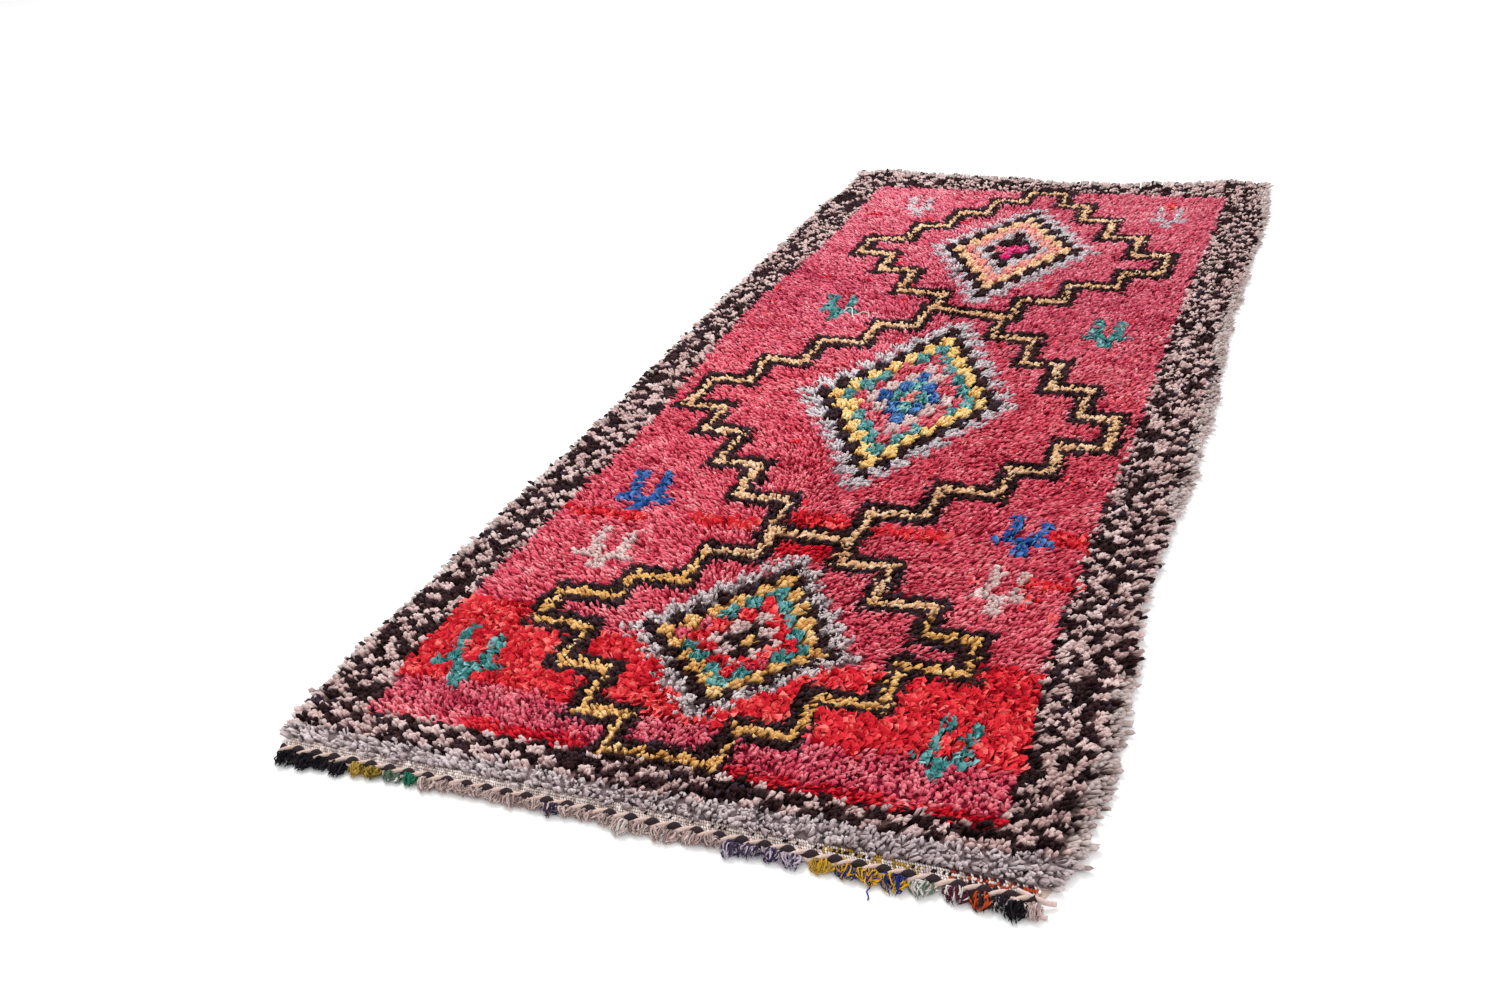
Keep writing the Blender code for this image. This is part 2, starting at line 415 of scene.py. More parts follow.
# A check is one of these numbers of knots across, the same for four rows of checks, and its row
# slides by one of these. It is two knots along, but from this row on some are only one.
CHECK_ACROSS = (2, 3, 3)
SAME_WIDTH = 4
CHECK_SLIDES = (0, 0, 0, 1)
SHORT_CHECKS = 150
# Distances along where the border crosses the rug, at the near end and at the far one
NEAR_CHECKS = 82
FAR_CHECKS = 2545
# The share of cream checks that stay cream, left and right of a turn: near end, then the rest
CREAM_KEPT = table("turn left right", (600, 0.92, 0.80), (300, 0.76, 0.89))
# The grey band's rows at the near end, and where it gains one more
GREY_ROWS = 3
GREY_GROWS = (640, 1030)
# The near right corner is darker: up to this distance along, and more so over this far across
CORNER_END = 260
CORNER_RUN = 260

# Yarns of the fringe, the band and the loose threads, as screen colours
YARNS = {
    "night": (13, 10, 18),
    "coal": (38, 30, 36),
    "olive": (122, 104, 42),
    "ochre": (190, 152, 66),
    "sage": (92, 116, 96),
    "jade": (28, 116, 88),
    "blush": (178, 150, 146),
    "shell": (210, 186, 180),
    "plum": (66, 52, 80),
    "lilac": (184, 168, 184),
    "yellow": (220, 168, 40),
    "navy": (34, 44, 116),
    "rust": (206, 80, 36),
    "wine": (86, 34, 50),
    "white": (216, 206, 202),
    "milk": (255, 242, 236),
}
# Tassels from the left: where each hangs, its width and reach, and its two yarns
TASSELS = table(
    "u width reach one other",
    (33, 30, 31, "night", "coal"),
    (62, 23, 30, "night", "coal"),
    (88, 21, 25, "coal", "night"),
    (116, 25, 28, "night", "coal"),
    (146, 22, 20, "ochre", "olive"),
    (171, 24, 19, "olive", "ochre"),
    (200, 24, 17, "sage", "white"),
    (229, 17, 15, "jade", "sage"),
    (256, 25, 21, "blush", "shell"),
    (284, 26, 15, "shell", "blush"),
    (308, 26, 14, "blush", "shell"),
    (332, 26, 13, "blush", "shell"),
    (357, 26, 15, "shell", "blush"),
    (387, 30, 17, "blush", "shell"),
    (417, 28, 13, "shell", "blush"),
    (444, 22, 18, "plum", "shell"),
    (466, 24, 14, "shell", "blush"),
    (493, 30, 13, "blush", "shell"),
    (521, 26, 14, "shell", "blush"),
    (546, 24, 27, "shell", "white"),
    (570, 26, 20, "blush", "shell"),
    (604, 34, 25, "blush", "shell"),
    (638, 30, 19, "shell", "blush"),
    (667, 28, 14, "blush", "shell"),
    (694, 18, 27, "lilac", "plum"),
    (718, 30, 21, "plum", "lilac"),
    (747, 26, 19, "plum", "lilac"),
    (774, 27, 23, "lilac", "plum"),
    (812, 26, 22, "ochre", "yellow"),
    (843, 25, 23, "navy", "yellow"),
    (871, 30, 23, "yellow", "navy"),
    (903, 30, 29, "yellow", "navy"),
    (936, 28, 26, "white", "sage"),
    (977, 28, 25, "wine", "white"),
    (1006, 26, 29, "rust", "coal"),
    (1028, 18, 24, "coal", "white"),
    (1047, 24, 33, "night", "coal"),
    (1066, 16, 24, "shell", "blush"),
)

# Loose threads: points along each as u, v and height, its thickness and its yarn
LOOSE = table(
    "points thickness dye",
    (((872, -34, 5), (877, -46, 3), (874, -53, 2), (879, -60, 2), (880, -66, 2)), 1.8, "navy"),
    (((1042, -12, 12), (1060, -17, 11), (1076, -19, 8), (1088, -15, 5)), 6.5, "shell"),
    (((1038, -24, 11), (1056, -32, 8), (1072, -36, 4), (1082, -37, 3)), 6.0, "shell"),
    (((284, 1636, 17), (290, 1652, 23), (302, 1650, 24), (312, 1618, 21), (322, 1600, 17)),
     3.2, "white"),
    (((318, 1622, 17), (330, 1640, 21), (345, 1636, 19), (350, 1616, 16)), 3.4, "shell"),
    (((436, 2664, 12), (437, 2684, 24), (434, 2704, 31)), 1.2, "coal"),
)


class Socket:
    """A node's output. Arithmetic on it adds Math nodes, also with numbers on the left."""

    def __init__(self, tree, link):
        self.tree = tree
        self.link = link

    def _math(self, operation, *values):
        node = self.tree.nodes.new("ShaderNodeMath")
        node.operation = operation
        for place, value in enumerate(values):
            put(self.tree, node.inputs[place], value)
        return Socket(self.tree, node.outputs[0])

    def __add__(self, other):
        return self._math("ADD", self, other)

    __radd__ = __add__

    def __mul__(self, other):
        return self._math("MULTIPLY", self, other)

    __rmul__ = __mul__

    def __sub__(self, other):
        return self._math("SUBTRACT", self, other)

    def __rsub__(self, other):
        return self._math("SUBTRACT", other, self)

    def clipped(self):
        return self._math("MINIMUM", self._math("MAXIMUM", self, 0.0), 1.0)


def put(tree, socket, value):
    """Links a Socket into a node's input, or sets the input to a plain value."""
    if isinstance(value, Socket):
        tree.links.new(value.link, socket)
    else:
        socket.default_value = value


def linear(channel):
    """A screen value from 0 to 255 as light: a straight part below 10, then a 2.4 power."""
    share = channel / 255
    return share / 12.92 if share <= 0.04045 else ((share + 0.055) / 1.055) ** 2.4


def colour(red, green, blue):
    """A screen colour as a shader's colour."""
    return (linear(red), linear(green), linear(blue), 1.0)


class Finish:
    """A material being made: node() adds any node, and shader is the Principled BSDF."""

    def __init__(self, name, roughness, sheen=0.0):
        self.material = bpy.data.materials.new(name)
        self.material.use_nodes = True
        self.tree = self.material.node_tree
        self.shader = self.tree.nodes["Principled BSDF"]
        self.shader.inputs["Roughness"].default_value = roughness
        self.shader.inputs["Specular IOR Level"].default_value = 0.12
        self.shader.inputs["Sheen Weight"].default_value = sheen
        self.shader.inputs["Sheen Roughness"].default_value = 0.5

    def node(self, kind, settings=None, output=0, **values):
        """Adds a node, sets its settings, then gives its inputs values or links by name."""
        made = self.tree.nodes.new("ShaderNode" + kind)
        for key, value in (settings or {}).items():
            if key == "stops":
                ramp = made.color_ramp
                while len(ramp.elements) < len(value):
                    ramp.elements.new(0.5)
                for element, (at, shade) in zip(ramp.elements, value):
                    element.position = at
                    element.color = shade
            else:
                setattr(made, key, value)
        for key, value in values.items():
            put(self.tree, made.inputs[key.replace("_", " ")], value)
        return Socket(self.tree, made.outputs[output])

    def attribute(self, name, output="Fac"):
        """What a piece's own attribute says at this point."""
        return self.node("Attribute", {"attribute_name": name}, output)

    def noise(self, place, scale, detail=2.0, roughness=0.5):
        """Cloudy noise from 0 to 1 at this place."""
        return self.node("TexNoise", None, "Fac", Vector=place, Scale=scale, Detail=detail,
                         Roughness=roughness)

    def ramp(self, shades, value):
        """The colour that value, from 0 to 1, picks from shades."""
        stops = [(at, colour(*screen)) for at, *screen in shades]
        return self.node("ValToRGB", {"stops": stops}, "Color", Fac=value.clipped())

    def surface(self, **values):
        """Links or sets the Principled shader's inputs by name."""
        for key, value in values.items():
            put(self.tree, self.shader.inputs[key.replace("_", " ")], value)

    def bump(self, height, strength, distance):
        """Raises the surface by height times distance."""
        raised = self.node("Bump", None, "Normal", Height=height, Strength=strength,
                           Distance=distance)
        self.surface(Normal=raised)


def yarn_finish(name, dye):
    """Spun yarn or torn rag. A lock's tone picks its shade; fibres streak it and roughen it."""
    finish = Finish(name, dye.roughness, sheen=0.015)
    place = finish.attribute("fibre", "Vector")
    cloth = dye.cut in ("petal", "flap")
    streak = finish.noise(place, 300.0 if cloth else 520.0, 2.0, 0.6)
    fine = finish.noise(place, 1500.0, 2.0, 0.7)
    # The tone attribute is lower towards each lock's root and higher at its tip: painted shade deep
    # in the pile
    tone = finish.attribute("tone") + (streak - 0.5) * (0.45 if cloth else 0.7)
    tone = tone + (fine - 0.5) * 0.2
    finish.surface(Base_Color=finish.ramp(dye.shades, tone))
    finish.bump(streak * 0.7 + fine * 0.3, 0.8, 0.0012)
    return finish.material


def ease(share):
    """A share from 0 to 1 as 3s^2 - 2s^3, level at both ends."""
    return share * share * (3 - 2 * share)


def eased(rows, column, at):
    """A table's column at these places, eased between rows."""
    places = np.array([row[0] for row in rows], float)
    values = np.array([getattr(row, column) for row in rows], float)
    after = np.clip(np.searchsorted(places, at), 1, len(places) - 1)
    share = ease(np.clip((at - places[after - 1]) / (places[after] - places[after - 1]), 0, 1))
    return values[after - 1] * (1 - share) + values[after] * share


def straight(rows, column, at):
    """A table's column at these places, in straight lines between rows."""
    return np.interp(at, [row[0] for row in rows], [getattr(row, column) for row in rows])


def side_x(along, side):
    """X of the tips at the left (-1) or right (+1) edge, at this distance along."""
    return side * eased(SIDES, "left" if side < 0 else "right", along)


def plain_end(across):
    """Distance along at which the tips end, at this share of the width."""
    return PILE_LENGTH - eased(PLAIN_END, "short", across)


def swell_at(x, y):
    """Height of the pile's broad swells: the sum of the waves in SWELLS."""
    total = np.zeros_like(x)
    for swell in SWELLS:
        angle = math.radians(swell.degrees)
        way = x * math.cos(angle) + y * math.sin(angle)
        total += swell.height * np.sin(2 * math.pi * way / swell.length + swell.shift)
    return total


def patches(x, y, size, seed):
    """Smooth patches from -1 to 1: a random value at each corner of a net, eased between."""
    net = np.random.default_rng(seed).uniform(-1, 1, (512, 512))
    across, along = x / size + 200, y / size + 200
    column, row = np.floor(across).astype(int), np.floor(along).astype(int)
    a, b = ease(across - column), ease(along - row)
    near = net[row, column] * (1 - a) + net[row, column + 1] * a
    far = net[row + 1, column] * (1 - a) + net[row + 1, column + 1] * a
    return near * (1 - b) + far * b


def line_distance(u, v, share, u_one, v_one, u_two, v_two):
    """How far a point is from an upright or level line, the greater of across and along.

    A level line may rise a little from one end to the other."""
    low, high = min(u_one, u_two), max(u_one, u_two)
    off_u = np.maximum(np.maximum(low - u, u - high), 0)
    if abs(u_one - u_two) > 1:
        part = np.clip((u - u_one) / (u_two - u_one), 0, 1)
        off_v = np.abs(v - (v_one + (v_two - v_one) * part))
    else:
        bottom, top = min(v_one, v_two), max(v_one, v_two)
        off_v = np.maximum(np.maximum(bottom - v, v - top), 0)
    return np.maximum(off_u, off_v * share)


def stair_distance(u, v, share, stair):
    """Distance to the nearest upright or bar of one stepped outline; a bar is the broader."""
    steps = stair.steps
    first, last = steps[0], steps[-1]
    nearest = np.minimum(
        line_distance(u, v, share, first.left, stair.left_start, first.right, stair.right_start),
        line_distance(u, v, share, last.left, last.left_end, last.right, last.right_end),
    )
    for side, start in (("left", stair.left_start), ("right", stair.right_start)):
        for place, step in enumerate(steps):
            at, end = getattr(step, side), getattr(step, side + "_end")
            nearest = np.minimum(nearest, line_distance(u, v, share, at, start, at, end))
            if place + 1 < len(steps):
                beside = getattr(steps[place + 1], side)
                nearest = np.minimum(nearest, line_distance(u, v, share, at, end, beside, end))
            start = end
    return nearest


def paint(dyes, where, name):
    """Gives the knots in where this dye."""
    dyes[where] = NAMES.index(name)


def block_steps(u, v, lozenge):
    """Steps right and away from a lozenge's middle, and a block's width and length there."""
    width = np.where(u < lozenge.u, lozenge.to_left, lozenge.to_right)
    length = np.where(v < lozenge.v, lozenge.to_near, lozenge.to_far)
    return (u - lozenge.u) / width, (v - lozenge.v) / length, width, length


def paint_lozenge(dyes, u, v, lozenge):
    """Ring k holds the blocks whose steps across and along from the middle add up to k.

    The last ring ends in fingers: its blocks reach further out at half their length."""
    across, along = np.abs(block_steps(u, v, lozenge)[:2])
    row = np.floor(along + 0.5)
    ring = np.floor(across + 0.5) + row
    last = len(lozenge.rings) - 1
    out = across + row - last
    level = np.abs(along - row)
    finger = (out > -0.5) & ((out < 0.25) | ((out < 1.15) & (level < 0.32)))
    paint(dyes, finger & (row <= last), lozenge.rings[last])
    for step, name in enumerate(lozenge.rings[:last]):
        paint(dyes, ring == step, name)


def from_block(u, v, lozenge):
    """Which block of a lozenge's grid a place is in, and how far it is from that block's middle."""
    across, along, width, length = block_steps(u, v, lozenge)
    right, away = np.round(across), np.round(along)
    return right, away, (across - right) * width, (along - away) * length


def paint_fork(dyes, u, v, fork):
    """Paints the bars of one small fork, sheared by its lean."""
    along = (v - fork.v) / fork.length
    across = (u - fork.u - fork.lean * (along - 0.4)) / fork.width
    for bar in FORK_BARS:
        inside = (across > bar.left) & (across < bar.right) & (along > bar.near) & (along < bar.far)
        paint(dyes, inside, fork.dye)


def chart(u, v, row, column, chance):
    """The dye of each knot, and how light or dark it is within its dye."""
    u = u + patches(u, v, 22, 3) * 2
    v = v + patches(u, v, 25, 4) * 2
    dyes = np.zeros(u.shape, int)
    share = np.clip((v - ALL_ROSE) / (ALL_PINK - ALL_ROSE), 0, 1)
    paint(dyes, chance.uniform(0, 1, u.shape) < share, "pink")
    field = dyes.copy()
    tone = 0.58 + chance.normal(0, 0.12, u.shape)
    tone += patches(u, v * 2.2, 70, 5) * 0.12 + patches(u, v, 22, 6) * 0.10
    tone += straight(FIELD_TONES, "tone", v)
    for streak in STREAKS:
        near = streak.near + patches(u, v, 34, 7) * 5
        far = streak.far + patches(u, v, 34, 8) * 7
        inside = (u > streak.left) & (u < streak.right) & (v > near) & (v < far)
        paint(dyes, inside, streak.dye)
    fleck = chance.uniform(0, 1, u.shape)
    paint(dyes, (dyes == field) & (fleck > FLECK) & (v < FLECKS_END), "red")
    for fork in FORKS:
        paint_fork(dyes, u, v, fork)
    for lozenge in LOZENGES:
        paint_lozenge(dyes, u, v, lozenge)
    for touch in TOUCHES:
        right, away = from_block(u, v, LOZENGES[touch.lozenge])[:2]
        paint(dyes, (right == touch.right) & (away == touch.away), touch.dye)
    tone += 0.10 * (is_centre(u, v) & (v > PALE_BLOCKS))
    paint_border(dyes, tone, u, v, row, column, chance)
    inside = v > NEAR_CHECKS - 4
    edge, line = (
        np.min([stair_distance(u, v, broad, stair) for stair in STAIRS], axis=0)
        for broad in (BLACK_SHARE, GOLD_SHARE)
    )
    paint(dyes, (edge < BLACK_LINE) & inside & ~is_centre(u, v), "black")
    gold = (line < GOLD_LINE) & inside
    paint(dyes, gold, "tan")
    paint(dyes, gold & (v + 0.25 * u < GOLD_END), "gold")
    return dyes, tone


def is_centre(u, v):
    """Knots of a lozenge's own rings, which the stepped line's black edge doesn't cover."""
    found = np.zeros(u.shape, bool)
    for lozenge in LOZENGES:
        across, along = np.abs(block_steps(u, v, lozenge)[:2])
        found |= across + along < len(lozenge.rings) - 0.6
    return found


def check_of(row, column):
    """Which check of the border a knot is in, and its steps from the middle of that check.

    A few rows of checks share one width, and each row slides by a knot or none."""
    chance = np.random.default_rng(9)
    side = (column > COLUMNS / 2).astype(int)
    long = np.where(np.arange(ROWS) * 2 < SHORT_CHECKS, 2, chance.integers(1, 3, ROWS))
    first = np.concatenate([[0], np.cumsum(long)])
    row_of = np.repeat(np.arange(ROWS), long)[row]
    wide = np.repeat(chance.choice(CHECK_ACROSS, (2, ROWS)), SAME_WIDTH, axis=1)[side, row_of]
    slide = chance.choice(CHECK_SLIDES, (2, ROWS))[side, row_of]
    slid = np.where(side, COLUMNS - 1 - column, column) + slide
    column_of = slid // wide
    across = (slid - column_of * wide - (wide - 1) / 2) * np.where(side, -1, 1)
    along = row - first[row_of] - (long[row_of] - 1) / 2
    return row_of, column_of, across, along


def paint_border(dyes, tone, u, v, row, column, chance):
    """Checks of black and cream all round, a grey band at the near end and a grey outer rim."""
    left, right = straight(INNER, "left", v), straight(INNER, "right", v)
    border = (u < left) | (u > right) | (v < NEAR_CHECKS) | (v > FAR_CHECKS)
    row_of, column_of = check_of(row, column)[:2]
    cell = np.random.default_rng(10).uniform(0, 1, (400, 200))[row_of, column_of]
    near_end, beyond = (np.where(u < kept.turn, kept.left, kept.right) for kept in CREAM_KEPT)
    kept = np.where(v < NEAR_CHECKS, near_end, beyond)
    odd = (((row_of + column_of) % 2 == 0) | (cell > kept)) & (cell > 0.04)
    paint(dyes, border & odd, "black")
    paint(dyes, border & ~odd, "cream")
    own = np.random.default_rng(11).normal(0, 0.10, (400, 200))[row_of, column_of]
    tone[border] = (0.54 + own + chance.normal(0, 0.09, u.shape))[border]
    rim = chance.uniform(0, 1, u.shape)
    paint(dyes, border & (column < 2) & (rim < 0.55), "ash")
    wide = straight(RIM, "wide", v) + chance.uniform(-0.7, 0.7, u.shape)
    paint(dyes, border & (column > COLUMNS - wide), "ash")
    paint(dyes, border & (row > ROWS - 4) & (rim < 0.8), "ash")
    paint(dyes, row < GREY_ROWS + (u > GREY_GROWS[0]) + (u > GREY_GROWS[1]), "grey")
    corner = border & (v < CORNER_END)
    tone[corner] -= (0.13 * np.clip((u - GREY_GROWS[0]) / CORNER_RUN, 0, 1))[corner]


def mesh_of(name, points, faces, smooth=True):
    """A mesh object from points (n, 3) and a list of face arrays, each (faces, corners)."""
    mesh = bpy.data.meshes.new(name)
    points = np.ascontiguousarray(points, dtype=np.float32)
    corners = np.concatenate([group.ravel() for group in faces]).astype(np.int32)
    sizes = np.concatenate([np.full(len(group), group.shape[1]) for group in faces])
    starts = np.concatenate([[0], np.cumsum(sizes)[:-1]]).astype(np.int32)
    mesh.vertices.add(len(points))
    mesh.vertices.foreach_set("co", points.ravel())
    mesh.loops.add(len(corners))
    mesh.loops.foreach_set("vertex_index", corners)
    mesh.polygons.add(len(sizes))
    mesh.polygons.foreach_set("loop_start", starts)
    mesh.update(calc_edges=True)
    mesh.validate()
    mesh.polygons.foreach_set("use_smooth", np.full(len(mesh.polygons), smooth))
    obj = bpy.data.objects.new(name, mesh)
    bpy.context.scene.collection.objects.link(obj)
    return obj


def give(obj, name, values):
    """Stores a number or a vector for each point of a piece."""
    values = np.ascontiguousarray(values, dtype=np.float32)
    kind, key = ("FLOAT", "value") if values.ndim == 1 else ("FLOAT_VECTOR", "vector")
    made = obj.data.attributes.new(name, kind, "POINT")
    made.data.foreach_set(key, values.ravel())


def give_locks(obj, name, values):
    """Stores one value for all the points of each lock of a piece."""
    each = len(obj.data.vertices) // len(values)
    give(obj, name, np.repeat(values, each, axis=0))


def dress(obj, material, node):
    """Gives a piece its material; it rides on the root and stands for a node."""
    obj.data.materials.append(material)
    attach(obj, "root")
    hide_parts(node)
    return obj


def unit(vectors):
    """Vectors scaled to length one."""
    return vectors / np.maximum(np.linalg.norm(vectors, axis=-1, keepdims=True), 1e-9)


def lock_faces(count, rings, sides):
    """Faces of count locks. Each lock's points are its rings in order, then its tip.

    One flat face closes the first ring."""
    each = rings * sides + 1
    here = np.arange(sides)
    after = (here + 1) % sides
    last = (rings - 1) * sides
    tip = np.stack([np.full(sides, each - 1), last + here, last + after], 1)
    walls = np.concatenate([
        np.stack([low + here, low + after, low + sides + after, low + sides + here], 1)
        for low in sides * np.arange(rings - 1)
    ])
    offset = (np.arange(count) * each)[:, None, None]
    return [
        (here[::-1][None, None] + offset).reshape(-1, sides),
        (tip[None] + offset).reshape(-1, 3),
        (walls[None] + offset).reshape(-1, 4),
    ]


def locks(name, spine, width, thick, flat_way, tone, chance, sides=3, crumple=0.1, painted_root_shade=0.42):
    """Closed tapering locks. spine is (n, k, 3): its last point is the tip, the others carry rings.

    A ring's points lie on an ellipse, width across flat_way and thick across the other way,
    and each strays by a share of the width, crumple. The tone rises from root to tip by the
    last argument: painted shade low in each lock, lighter at its tip.
    The fibre attribute is each point's place within its lock, moved by a random amount."""
    count, stations = spine.shape[:2]
    forward = unit(np.gradient(spine, axis=1)[:, :-1])
    wide = unit(flat_way - forward * (flat_way * forward).sum(-1, keepdims=True))
    deep = np.cross(forward, wide)
    angle = 2 * np.pi * np.arange(sides) / sides
    out = (
        np.cos(angle)[:, None] * (wide * width[..., None] / 2)[:, :, None]
        + np.sin(angle)[:, None] * (deep * thick[..., None] / 2)[:, :, None]
    )
    out += chance.normal(0, crumple, out.shape) * width[..., None, None]
    around = (spine[:, :-1, None] + out).reshape(count, -1, 3)
    points = np.concatenate([around, spine[:, -1:]], 1)
    points[..., 2] = np.maximum(points[..., 2], FLOOR_GAP)
    obj = mesh_of(name, points.reshape(-1, 3), lock_faces(count, stations - 1, sides), sides == 3)
    up = np.linalg.norm(np.diff(spine, axis=1), axis=-1).cumsum(1)
    up = np.concatenate([np.zeros((count, 1)), up], 1)
    up, rise = (
        np.concatenate([np.repeat(far[:, :-1], sides, 1), far[:, -1:]], 1)
        for far in (up, up / up[:, -1:])
    )
    beside = np.stack([
        width[..., None] * np.cos(angle) / 2,
        thick[..., None] * np.sin(angle) / 2,
    ], -1)
    beside = np.concatenate([beside.reshape(count, -1, 2), np.zeros((count, 1, 2))], 1)
    fibre = np.concatenate([beside, up[..., None] * 0.3], -1)
    fibre += chance.uniform(-1, 1, (count, 1, 3))
    give(obj, "fibre", fibre.reshape(-1, 3))
    # The tone is lowered towards each lock's root and raised at its tip: painted shade deep in the
    # pile
    give(obj, "tone", (tone[:, None] + (rise - 0.75) * painted_root_shade).ravel())
    return obj


# How a knot's two ends of yarn are cut: how far they spread, how far along they stay broad,
# their least and greatest width, and how much they crumple
End = namedtuple("End", "spread shoulder least most crumple")
ENDS = {
    "ends": End(0.0052, 0.7, 0.0048, 0.0064, 0.1),
    "tuft": End(0.0030, 0.82, 0.0070, 0.0094, 0.12),
}
# How a knot's strips are cut: how many, their width, their thickness as a share of it, their
# sides, how far they lean with the nap, spread, turn and crumple, and how much their tones differ
Cut = namedtuple("Cut", "each width thick sides lean spread turn crumple tones")
CUTS = {
    "petal": Cut(2, 0.0146, 0.18, 4, 0.6, 0.0056, 0.60, 0.10, 0.13),
    "flap": Cut(2, 0.0140, 0.19, 4, 0.7, 0.0030, 0.50, 0.08, 0.12),
    "curl": Cut(2, 0.0076, 0.70, 3, 0.4, 0.0050, 1.50, 0.14, 0.05),
}


def knot_places():
    """Each knot's row from the near end and column from the left."""
    row, column = np.meshgrid(np.arange(ROWS), np.arange(COLUMNS), indexing="ij")
    return row.ravel(), column.ravel()


def chart_place(x, y, lean_x, lean_y):
    """Where on the chart a knot's colour is seen, from its root and its lean."""
    u = (x + lean_x * SEEN_AT - CHART_LEFT) * 1000
    v = (y + lean_y * SEEN_AT - PILE_START) * 1000
    return u, v


def pile_places(chance):
    """Each knot's root and lean, the height of its tip, and how far it is from the rim."""
    row, column = knot_places()
    across = (column + 0.5 + chance.uniform(-0.22, 0.22, row.shape)) / COLUMNS
    along = (row + 0.5 + chance.uniform(-0.3, 0.3, row.shape)) / ROWS
    start = 0.0010 - 0.0006 * np.clip((0.62 - across) / 0.2, 0, 1)
    start = start + 0.0055 * np.clip((across - 0.84) / 0.08, 0, 1)
    along = start + along * (plain_end(across) - ROOT_INSET - start)
    left, right = side_x(along, -1) + ROOT_INSET, side_x(along, 1) - ROOT_INSET
    x = left + (right - left) * across
    y = PILE_START + along
    rim_x = np.minimum(column, COLUMNS - 1 - column)
    gathered = (rim_x < SIDE_KNOTS) | (row < NEAR_KNOTS) | (row > ROWS - FAR_KNOTS)
    off_x, off_y = check_of(row, column)[2:]
    x = x - CHECK_GATHER * KNOT * off_x * gathered
    y = y - CHECK_GATHER * KNOT * off_y * gathered
    turned = ease(np.clip((across - NAP_TURNS[0]) / (NAP_TURNS[1] - NAP_TURNS[0]), 0, 1))
    lean_x = eased(NAP, "left", along) * (1 - turned)
    lean_x = (lean_x + eased(NAP, "right", along) * turned) / 1000
    lean_x += patches(x, y, 0.05, 21) * 0.004
    lean_y = patches(x, y, 0.06, 22) * 0.005
    height = PILE_HEIGHT + swell_at(x, y) - ROOT_HEIGHT + patches(x, y, 0.018, 23) * 0.0016
    height = height + 0.0015
    u, v = chart_place(x, y, lean_x, lean_y)
    for lozenge in LOZENGES:
        near = is_centre(u, v) & (np.abs(v - lozenge.v) < 420)
        off_x, off_y = from_block(u, v, lozenge)[2:]
        x = x - BLOCK_GATHER * off_x * near
        y = y - BLOCK_GATHER * off_y * near
    rim_y = ROWS - 1 - row
    outward_x = np.where(column < COLUMNS / 2, -1, 1) * np.clip(1 - rim_x / 3, 0, 1)
    outward_y = np.clip(1 - rim_y / 3, 0, 1) - 0.3 * np.clip(1 - row / 3, 0, 1)
    out = np.clip(np.maximum(np.abs(outward_x), np.abs(outward_y)), 0, 1)
    reach = 0.0155 + patches(x, y, 0.014, 24) * 0.005
    reach = reach + 0.004 * (across > 0.5) * np.clip(1 - np.abs(along - 0.05) / 0.07, 0, 1)
    reach = reach + 0.009 * (across < 0.5) * np.clip(1 - along / 0.05, 0, 1)
    lean_x = lean_x * (1 - out) + outward_x * reach
    lean_y = lean_y * (1 - out) + outward_y * reach * np.where(row < NEAR_KNOTS, 0.75, 1)
    lean_x = lean_x * np.where(gathered & (out == 0), 0.8, 1)
    height = height - out ** 1.5 * np.where(rim_y < 3, 0.002, 0.0085)
    return x, y, lean_x, lean_y, height, out


def spine_of(x, y, tip, bow, rise):
    """Each lock's middle line: it leans as rise^1.25 and climbs as 1 - (1 - rise)^1.55."""
    root = np.stack([x, y, np.full(len(x), ROOT_HEIGHT)], 1)
    run = rise ** 1.25
    lift = 1 - (1 - rise) ** 1.55
    return root[:, None] + np.stack([
        run * tip[:, :1] + np.sin(rise * np.pi) * bow[:, :1],
        run * tip[:, 1:2] + np.sin(rise * np.pi) * bow[:, 1:2],
        lift * tip[:, 2:],
    ], -1)


def level_way(turn):
    """A level direction at this angle from +X."""
    return np.stack([np.cos(turn), np.sin(turn), np.zeros(turn.shape)], -1)


def ends_of(picked, places, tone, chance, end):
    """Two yarn ends from each knot, cut as ENDS says, which lie over with the nap."""
    x, y, lean_x, lean_y, height, out, tone = (
        np.repeat(column[picked], 2) for column in (*places, tone)
    )
    count = len(x)
    turn = np.tile([0.8, 3.9], count // 2) + chance.uniform(-0.9, 0.9, count)
    x = x + np.cos(turn) * 0.0026
    y = y + np.sin(turn) * 0.0026
    spread = end.spread * (1 - 0.6 * out)
    tip = np.stack([
        lean_x * chance.uniform(0.65, 1.4, count) + chance.normal(0, 1, count) * spread,
        lean_y + chance.normal(0, 1, count) * spread,
        height * chance.uniform(0.78, 1.08, count),
    ], 1)
    bow = chance.normal(0, 0.0014, (count, 2))
    spine = spine_of(x, y, tip, bow, np.array([0.16, end.shoulder, 1.0]))
    width = chance.uniform(end.least, end.most, (count, 1)) * (0.9, 1.0)
    way = np.arctan2(tip[:, 1], tip[:, 0]) + chance.normal(0, 0.5, count) + np.pi / 2
    tone = tone + chance.normal(0, 0.08, count)
    return dict(spine=spine, width=width, thick=width * 0.8, flat_way=level_way(way)[:, None],
                tone=tone, crumple=end.crumple)


